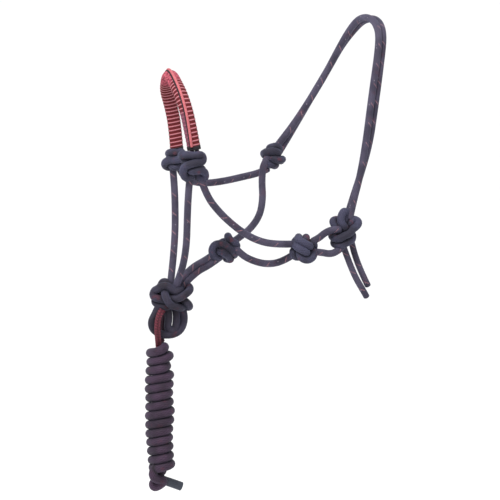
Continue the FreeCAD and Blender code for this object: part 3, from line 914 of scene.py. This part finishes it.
def eye_material():
    """Red and pink yarn on the plait's front leg, and a darker maroon and violet painted on its back leg as
    shade.
    """
    material, nodes, shader = start_material("eye_plait", 0.75, 0.06, linear(220, 150, 160))
    coordinates = nodes.add("ShaderNodeUVMap", uv_map="along").outputs[0]
    place = nodes.add("ShaderNodeTexCoord").outputs["Object"]
    woven = use_braid(nodes, coordinates, PLAIT_STRAND)
    cloth = use_group(nodes, CLOTH_GROUP, Coordinates=place)
    # The back leg gets a darker copy of the yarn colour: painted shade.
    _, side, height = nodes.parts(place)
    back = nodes.ramp(side, -0.001, 0.005)
    front_colour = nodes.mix(nodes.ramp(cloth["Fibre"], 0.35, 0.65), linear(98, 22, 44), linear(156, 60, 84))
    shaded_back_colour = nodes.mix(nodes.ramp(cloth["Fibre"], 0.35, 0.65), linear(40, 24, 46), linear(76, 56, 92))
    colour = nodes.mix(back, front_colour, shaded_back_colour)
    # Painted shade: dark bands in the hollows where the plait's strands cross.
    hollow_shade = nodes.math("SINE", nodes.math("MULTIPLY", height, 2 * math.pi / HOLLOW_SHADE_PITCH))
    colour = nodes.mix(nodes.math("MULTIPLY", nodes.ramp(hollow_shade, 0.1, 0.9), 0.5), colour, linear(40, 10, 24))
    # Painted highlight: the crowns of the strands are lightened.
    crown = nodes.math("MULTIPLY", nodes.ramp(woven["Height"], 0.6, 0.9), 0.3)
    colour = nodes.mix(crown, colour, linear(168, 96, 106))
    # Painted shade: the gaps between the yarns and the creases where the plait's strands press together are
    # darkened.
    colour = nodes.mix(nodes.math("MULTIPLY", woven["Gap shade"], 0.6), colour, linear(26, 8, 16))
    crease = nodes.add("ShaderNodeAttribute", attribute_name="crease").outputs["Fac"]
    colour = nodes.mix(nodes.math("MULTIPLY", crease, 0.9), colour, linear(22, 6, 12))
    nodes.feed(shader.inputs["Base Color"], colour)
    bump(nodes, shader, woven["Height"], 0.25 * MM, 0.7)
    return material


EYE_RING_SPACING = 0.7 * MM
eye_line = spline_line("lead_eye", EYE_ROUTE, EYE_RING_SPACING)
eye_surface = Surface()
_, eye_normals, eye_binormals = frames_along(eye_line, (0, 1, 0))
eye_along = np.arange(len(eye_line)) * EYE_RING_SPACING
eye_strands = []
for third in range(3):
    phase = 2 * np.pi * (eye_along / PLAIT_PITCH + third / 3)
    swing = PLAIT_REACH * np.sin(phase)[:, None] * eye_normals
    lift = 0.6 * PLAIT_REACH * np.sin(2 * phase)[:, None] * eye_binormals
    eye_strands.append(eye_line + swing + lift)
for third in range(3):
    eye_others = np.concatenate([eye_strands[third - 1], eye_strands[third - 2]])
    add_rope(eye_surface, eye_strands[third], PLAIT_STRAND, neighbours=lambda _, others=eye_others: others)
eye_piece = make_piece("lead_eye_plait", eye_surface, eye_material(), "lead", ["lead_eye"])

# ---------------------------------------------------------------- noseband

NOSE_MIDDLE = Vector((-0.251, 0, -0.182))
NOSE_SET = Matrix.Rotation(math.radians(-4.5), 3, "Z") @ Matrix.Rotation(math.radians(-11), 3, "Y")
SLEEVE_STARTS = (16 * MM, 26.9 * MM)  # height of the sleeve's far and near end over the nose knots' middle
STRANDS_STARTS = (8 * MM, 8 * MM)  # and of the ends of the two ropes inside it
SLEEVE_HALF_WIDTH = 8.7 * MM
SLEEVE_INNER = 5.8 * MM  # height of its side towards the nose
SLEEVE_OUTER = 6.8 * MM  # height of its outer side, up to the ridge under the piping
INNER_BULGE = 0.77  # powers that shape the two sides: flatter towards the nose, ridged outside
OUTER_BULGE = 1.15
SLEEVE_WALL = 0.9 * MM
SLEEVE_STEP = 0.45 * MM
SLEEVE_SIDES = 56
RIB_PITCH = 5.3 * MM
RIB_RISE = 0.45 * MM
NEAR_TWIST = math.radians(30)  # the sleeve's ridge turns to the front towards its near end
LEG = 57.5 * MM  # distance of the two legs' feet from the middle
# Half of the arch above its feet: distance to the side, height over the nose knots' middle, and how far
# the far and the near leg bow to the rear.
ARCH_HALF = [(58.5, 46, 4.5, 2), (56, 73, 3.5, 2), (45, 95, -0.5, 1), (25, 110, 0, 0), (8, 117.5, 0, 0)]
FOOT_BOW = (0.8 * MM, 2 * MM)


def arch_points(starts):
    far_start, near_start = starts
    far = [Vector((bow, side, height)) * MM for side, height, bow, _ in ARCH_HALF]
    near = [Vector((bow, -side, height)) * MM for side, height, _, bow in reversed(ARCH_HALF)]
    far.insert(0, (FOOT_BOW[0], LEG, far_start))
    near.append((FOOT_BOW[1], -LEG, near_start))
    return [NOSE_MIDDLE + NOSE_SET @ Vector(point) for point in far + near]


def arch_frames(starts, spacing):
    """Points along the arch, with the sleeve's directions to its rear edge and away from the nose."""
    line = spline_line("arch", arch_points(starts), spacing)
    tangents = np.gradient(line, axis=0)
    tangents /= np.linalg.norm(tangents, axis=1)[:, None]
    rearward = np.array(NOSE_SET @ Vector((1, 0, 0)))
    outward = np.cross(tangents, rearward)
    share = np.linspace(0, 1, len(line))
    twist = NEAR_TWIST * np.clip((share - 0.55) / 0.45, 0, 1) ** 1.5
    turned_rear = rearward * np.cos(twist)[:, None] + outward * np.sin(twist)[:, None]
    turned_out = outward * np.cos(twist)[:, None] - rearward * np.sin(twist)[:, None]
    along = np.arange(len(line)) * np.linalg.norm(line[1] - line[0])
    return line, turned_rear, turned_out, along


def sleeve_section(angle, growth):
    """A full drop with its ridge outside: distance to the rear and outward, for an angle round it."""
    outside = np.sin(angle) > 0
    power = np.where(outside, OUTER_BULGE, INNER_BULGE)
    height = np.where(outside, SLEEVE_OUTER, SLEEVE_INNER) + growth
    across = np.sign(np.cos(angle)) * np.abs(np.cos(angle)) ** power
    out = np.sign(np.sin(angle)) * np.abs(np.sin(angle)) ** power
    return (SLEEVE_HALF_WIDTH + growth) * across, height * out


def rib_profile(along):
    """1 on a raised rib, 0 between ribs."""
    distance = np.abs((along / RIB_PITCH) % 1 - 0.5) * RIB_PITCH
    return np.clip(1 - (distance / (1.05 * MM)) ** 2, 0, 1)


def make_sleeve(material):
    line, rear, out, along = arch_frames(SLEEVE_STARTS, SLEEVE_STEP)
    angle = 2 * np.pi * np.arange(SLEEVE_SIDES) / SLEEVE_SIDES
    shells = []
    for wall in (0, SLEEVE_WALL):
        rise = (RIB_RISE * rib_profile(along) if wall == 0 else np.zeros(len(along)))[:, None]
        x, y = sleeve_section(angle[None, :], rise - wall)
        shells.append(line[:, None, :] + rear[:, None, :] * x[:, :, None] + out[:, None, :] * y[:, :, None])
    outside, inside = shells
    rings = np.concatenate([outside, inside[::-1], outside[:1]])[:, ::-1]
    surface = Surface()
    surface.tube(rings, np.concatenate([along, along[::-1], along[:1]]), closed_ends=False)
    piece = make_piece(
        "noseband_sleeve_woven", surface, material, "noseband", ["noseband_sleeve"]
    )
    merge_doubles(piece)
    return piece


def merge_doubles(piece):
    bpy.context.view_layer.objects.active = piece
    piece.select_set(True)
    bpy.ops.object.mode_set(mode="EDIT")
    bpy.ops.mesh.select_all(action="SELECT")
    bpy.ops.mesh.remove_doubles(threshold=0.01 * MM)
    bpy.ops.mesh.normals_make_consistent(inside=False)
    bpy.ops.object.mode_set(mode="OBJECT")
    piece.select_set(False)


def sleeve_material():
    """Maroon bands between raised pale ribs, pinker and unstriped under the top of the arch."""
    material, nodes, shader = start_material("sleeve_stripe", 0.8, 0.0, linear(230, 160, 165))
    coordinates = nodes.add("ShaderNodeUVMap", uv_map="along").outputs[0]
    place = nodes.add("ShaderNodeTexCoord").outputs["Object"]
    cloth = use_group(nodes, CLOTH_GROUP, Coordinates=place)
    around, along, _ = nodes.parts(coordinates)
    phase = nodes.math("FRACT", nodes.math("MULTIPLY", along, 1 / RIB_PITCH))
    distance = nodes.math("ABSOLUTE", nodes.math("SUBTRACT", phase, 0.5))
    rib = nodes.math("SUBTRACT", 1.0, nodes.ramp(distance, 0.12, 0.18))
    band = nodes.mix(cloth["Fibre"], linear(40, 0, 6), linear(96, 2, 18))
    pale = nodes.mix(cloth["Fibre"], linear(132, 68, 78), linear(172, 114, 120))
    colour = nodes.mix(rib, band, pale)
    _, side, height = nodes.parts(place)
    # Low down, the front half of the near leg's outer side is painted a mottled purple.
    front_half = nodes.math("MULTIPLY", nodes.ramp(around, 0.5, 0.54), nodes.math("LESS_THAN", around, 0.75))
    near = nodes.math("LESS_THAN", side, 0.0)
    low = nodes.ramp(nodes.math("MULTIPLY", height, -1.0), 0.106, 0.118)
    mottled_purple = nodes.mix(cloth["Fibre"], linear(66, 22, 42), linear(124, 76, 94))
    low_near = nodes.math("MULTIPLY", low, near)
    mottled_share = nodes.math("MULTIPLY", nodes.math("MULTIPLY", front_half, low_near), 0.8)
    colour = nodes.mix(mottled_share, colour, mottled_purple)
    # Over the nose the ribs are lost in mottled pink.
    arch = nodes.math("SUBTRACT", 1.0, nodes.ramp(nodes.math("ABSOLUTE", side), 0.024, 0.031))
    blotch = nodes.ramp(nodes.noise(place, 420, detail=2), 0.4, 0.6)
    pink = nodes.mix(blotch, linear(96, 26, 44), linear(166, 76, 90))
    colour = nodes.mix(nodes.math("MULTIPLY", arch, 0.85), colour, pink)
    nodes.feed(shader.inputs["Base Color"], colour)
    height = nodes.math("MULTIPLY_ADD", cloth["Fibre"], 0.4, rib)
    bump(nodes, shader, height, 0.2 * MM, 0.6)
    return material


make_sleeve(sleeve_material())

PIPING_RADIUS = 1.7 * MM
SHADOW_CORD_RADIUS = 0.95 * MM


def plain_tube(surface, line, radius, ring_rise, rise_pitch, sides):
    """A thin corded tube, its surface rising in slanted turns."""
    _, normals, binormals = frames_along(line)
    along = length_along(line)
    angle = 2 * np.pi * np.arange(sides) / sides
    turns = np.sin(angle[None, :] + 2 * np.pi * along[:, None] / rise_pitch)
    size = radius + ring_rise * turns
    outward = directions_round(normals, binormals, angle)
    surface.tube(line[:, None, :] + outward * size[:, :, None], along)


def cloth_material(name, dark, light, roughness):
    """A plain fine cloth: two shades over a fibre pattern, with the fibres raised."""
    material, nodes, shader = start_material(name, roughness, 0.05, light)
    place = nodes.add("ShaderNodeTexCoord").outputs["Object"]
    cloth = use_group(nodes, CLOTH_GROUP, Coordinates=place)
    nodes.feed(shader.inputs["Base Color"], nodes.mix(nodes.ramp(cloth["Fibre"], 0.3, 0.7), dark, light))
    bump(nodes, shader, cloth["Fibre"], 0.2 * MM, 0.5)
    return material


PIPING = cloth_material("piping", linear(120, 48, 56), linear(186, 106, 110), 0.75)
BINDING_TAPE = cloth_material("binding_tape", linear(18, 14, 18), linear(44, 36, 42), 0.8)

piping_line, piping_rear, piping_out, _ = arch_frames(SLEEVE_STARTS, 0.6 * MM)
piping_surface = Surface()
piping_line_out = piping_line + piping_out * (SLEEVE_OUTER + 0.8 * MM)
plain_tube(piping_surface, piping_line_out, PIPING_RADIUS, 0.12 * MM, 2.4 * MM, 20)
make_piece("noseband_piping_corded", piping_surface, PIPING, "noseband", ["noseband_piping"])

# A thin dark cord just in front of the piping: painted shade, standing in for the shadowed gap between the
# sleeve's underside and its front edge.
shadow_cord_surface = Surface()
shadow_cord_line = piping_line + piping_out * (SLEEVE_OUTER - 0.2 * MM) - piping_rear * 2.5 * MM
plain_tube(shadow_cord_surface, shadow_cord_line, SHADOW_CORD_RADIUS, 0.1 * MM, 1.5 * MM, 10)
make_piece("piping_shadow_cord", shadow_cord_surface, BINDING_TAPE, "noseband", [])

strand_line, strand_rear, _, _ = arch_frames(STRANDS_STARTS, RING_SPACING)
for strand_name, strand_side in (("nose_strand_front", -1), ("nose_strand_rear", 1)):
    strand_surface = Surface()
    add_rope(strand_surface, strand_line + strand_side * strand_rear * 3.2 * MM, SLEEVED_BRAID)
    make_piece(f"{strand_name}_braid", strand_surface, HALTER_ROPE, "noseband", [strand_name])

TAPE_TURNS = 3
TAPE_HEIGHT = 1.9 * MM


def make_binding(node, side):
    """Tape wound three times round one end of the sleeve: each turn a flat ring with soft edges."""
    line, rear, out, _ = arch_frames(SLEEVE_STARTS, SLEEVE_STEP)
    end = 0 if side > 0 else -1
    tangent = (line[1] - line[0]) if side > 0 else (line[-2] - line[-1])
    tangent = Vector(tangent).normalized()
    across = Vector(rear[end])
    basis = Matrix((across, tangent.cross(across), tangent)).transposed().to_4x4()
    turns = []
    for number in range(TAPE_TURNS):
        bpy.ops.mesh.primitive_cylinder_add(
            vertices=48, radius=SLEEVE_OUTER + 0.5 * MM, depth=TAPE_HEIGHT, location=(0, 0, 0)
        )
        turn = bpy.context.active_object
        stretch = SLEEVE_HALF_WIDTH - SLEEVE_OUTER
        for vertex in turn.data.vertices:
            vertex.co.x += math.copysign(stretch, vertex.co.x) if abs(vertex.co.x) > 1e-6 else 0
        bevel = turn.modifiers.new("soft_edge", "BEVEL")
        bevel.width = 0.6 * MM
        bevel.segments = 3
        bpy.ops.object.modifier_apply(modifier=bevel.name)
        tilt = Matrix.Rotation(math.radians(2.5 * (number - 1)), 4, "X")
        lift = Matrix.Translation((0, 0, (number * 1.75 - 4.1) * MM))
        turn.data.transform(Matrix.Translation(line[end]) @ basis @ lift @ tilt)
        turns.append(turn)
    for turn in turns:
        turn.select_set(True)
    bpy.context.view_layer.objects.active = turns[0]
    bpy.ops.object.join()
    piece = bpy.context.active_object
    piece.name = f"{node}_tape"
    piece.data.name = piece.name
    piece.data.materials.append(BINDING_TAPE)
    piece.data.shade_smooth()
    piece.select_set(False)
    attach(piece, "noseband")
    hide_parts(node)


make_binding("sleeve_binding_far", 1)
make_binding("sleeve_binding_near", -1)

# ---------------------------------------------------------------- floor and light

FLOOR_HEIGHT = -1.1


def make_floor():
    bpy.ops.mesh.primitive_plane_add(size=80, location=(0, 0, FLOOR_HEIGHT))
    floor = bpy.context.active_object
    floor.name = "floor"
    material, _, shader = start_material("floor", 0.9, 0.0, (1, 1, 1, 1))
    shader.inputs["Base Color"].default_value = (0.97, 0.97, 0.97, 1)
    floor.data.materials.append(material)


def make_light(name, azimuth, elevation, distance, size, power):
    towards = viewing_direction(math.radians(azimuth), math.radians(elevation))
    data = bpy.data.lights.new(name, "AREA")
    data.shape = "DISK"
    data.size = size
    data.energy = power
    light = bpy.data.objects.new(name, data)
    light.location = VIEW_TARGET + towards * distance
    light.rotation_mode = "QUATERNION"
    light.rotation_quaternion = (-towards).to_track_quat("-Z", "Y")
    bpy.context.scene.collection.objects.link(light)


def make_world():
    world = bpy.data.worlds.new("studio")
    world.use_nodes = True
    background = world.node_tree.nodes["Background"]
    background.inputs["Color"].default_value = (1, 1, 1, 1)
    background.inputs["Strength"].default_value = 1.06
    bpy.context.scene.world = world
    bpy.context.scene.view_settings.view_transform = "Standard"


make_floor()
make_light("key_light", -50, 50, 2.2, 0.9, 62)
make_light("fill_light", 40, 25, 2.6, 1.4, 14)
make_world()
